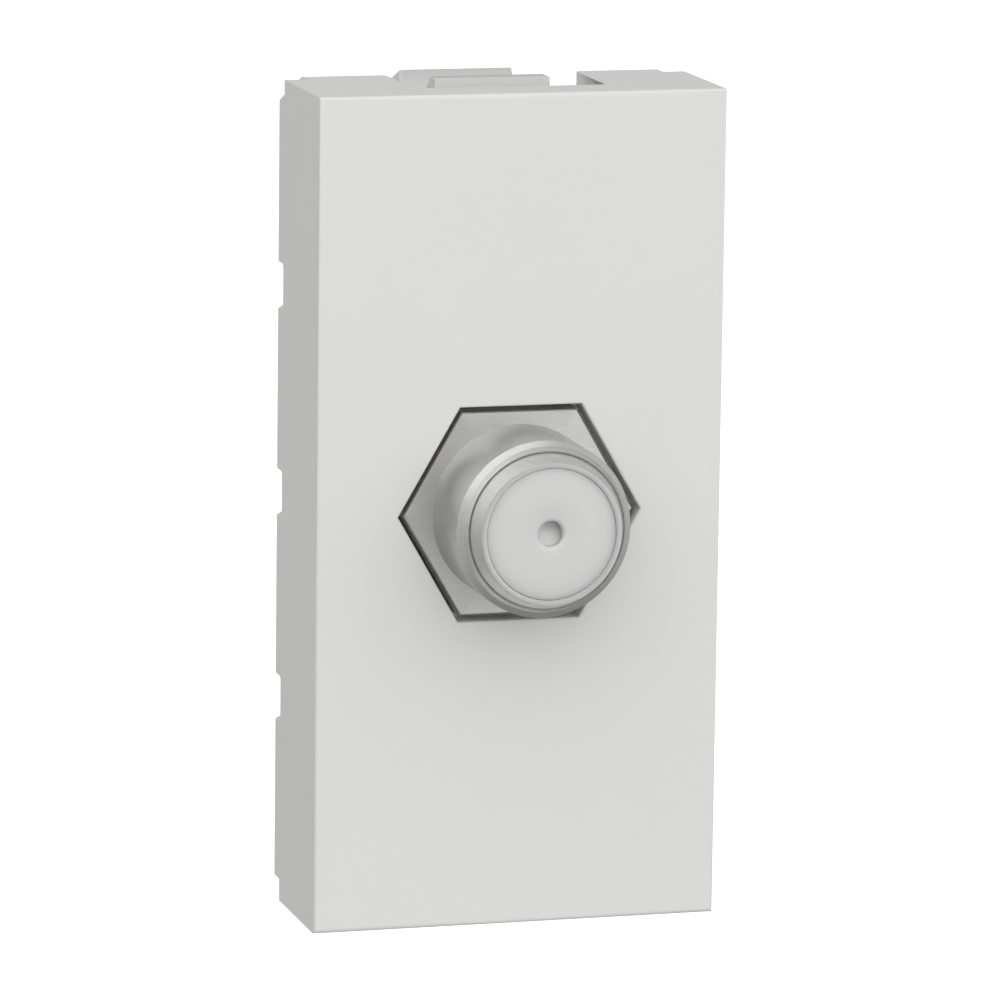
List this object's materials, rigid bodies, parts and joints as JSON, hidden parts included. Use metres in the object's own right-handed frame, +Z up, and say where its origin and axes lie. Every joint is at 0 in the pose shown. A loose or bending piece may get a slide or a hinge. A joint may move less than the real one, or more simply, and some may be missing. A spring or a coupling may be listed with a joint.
{
  "type": "television antenna socket module",
  "caption": "Single-width snap-in wall module with a screw-type coaxial antenna socket: white cover, carrier with latches and a nickel-plated through coupler.",
  "frame": {"origin": "on the socket's axis, level with the cover's front face", "axes": "+X to the right and +Z up as seen from the room, +Y from the cover's face towards the wall"},
  "size_m": [0.0222, 0.0256, 0.045],
  "materials": {
    "white_moulding": "fine satin moulded surface",
    "nickel_plated_brass": "turned brass under satin nickel plate",
    "insulator_plastic": "natural white, slightly satin",
    "contact_plating": "tin-plated spring bronze strip",
    "washer_steel": "zinc-plated spring steel"
  },
  "bodies": {
    "root": {"front_cover": "white_moulding", "carrier": "white_moulding", "coupler_body": "nickel_plated_brass", "front_insulator": "insulator_plastic", "rear_insulator": "insulator_plastic", "centre_contact": "contact_plating", "lock_washer": "washer_steel", "mounting_nut": "nickel_plated_brass"}
  },
  "joints": []
}
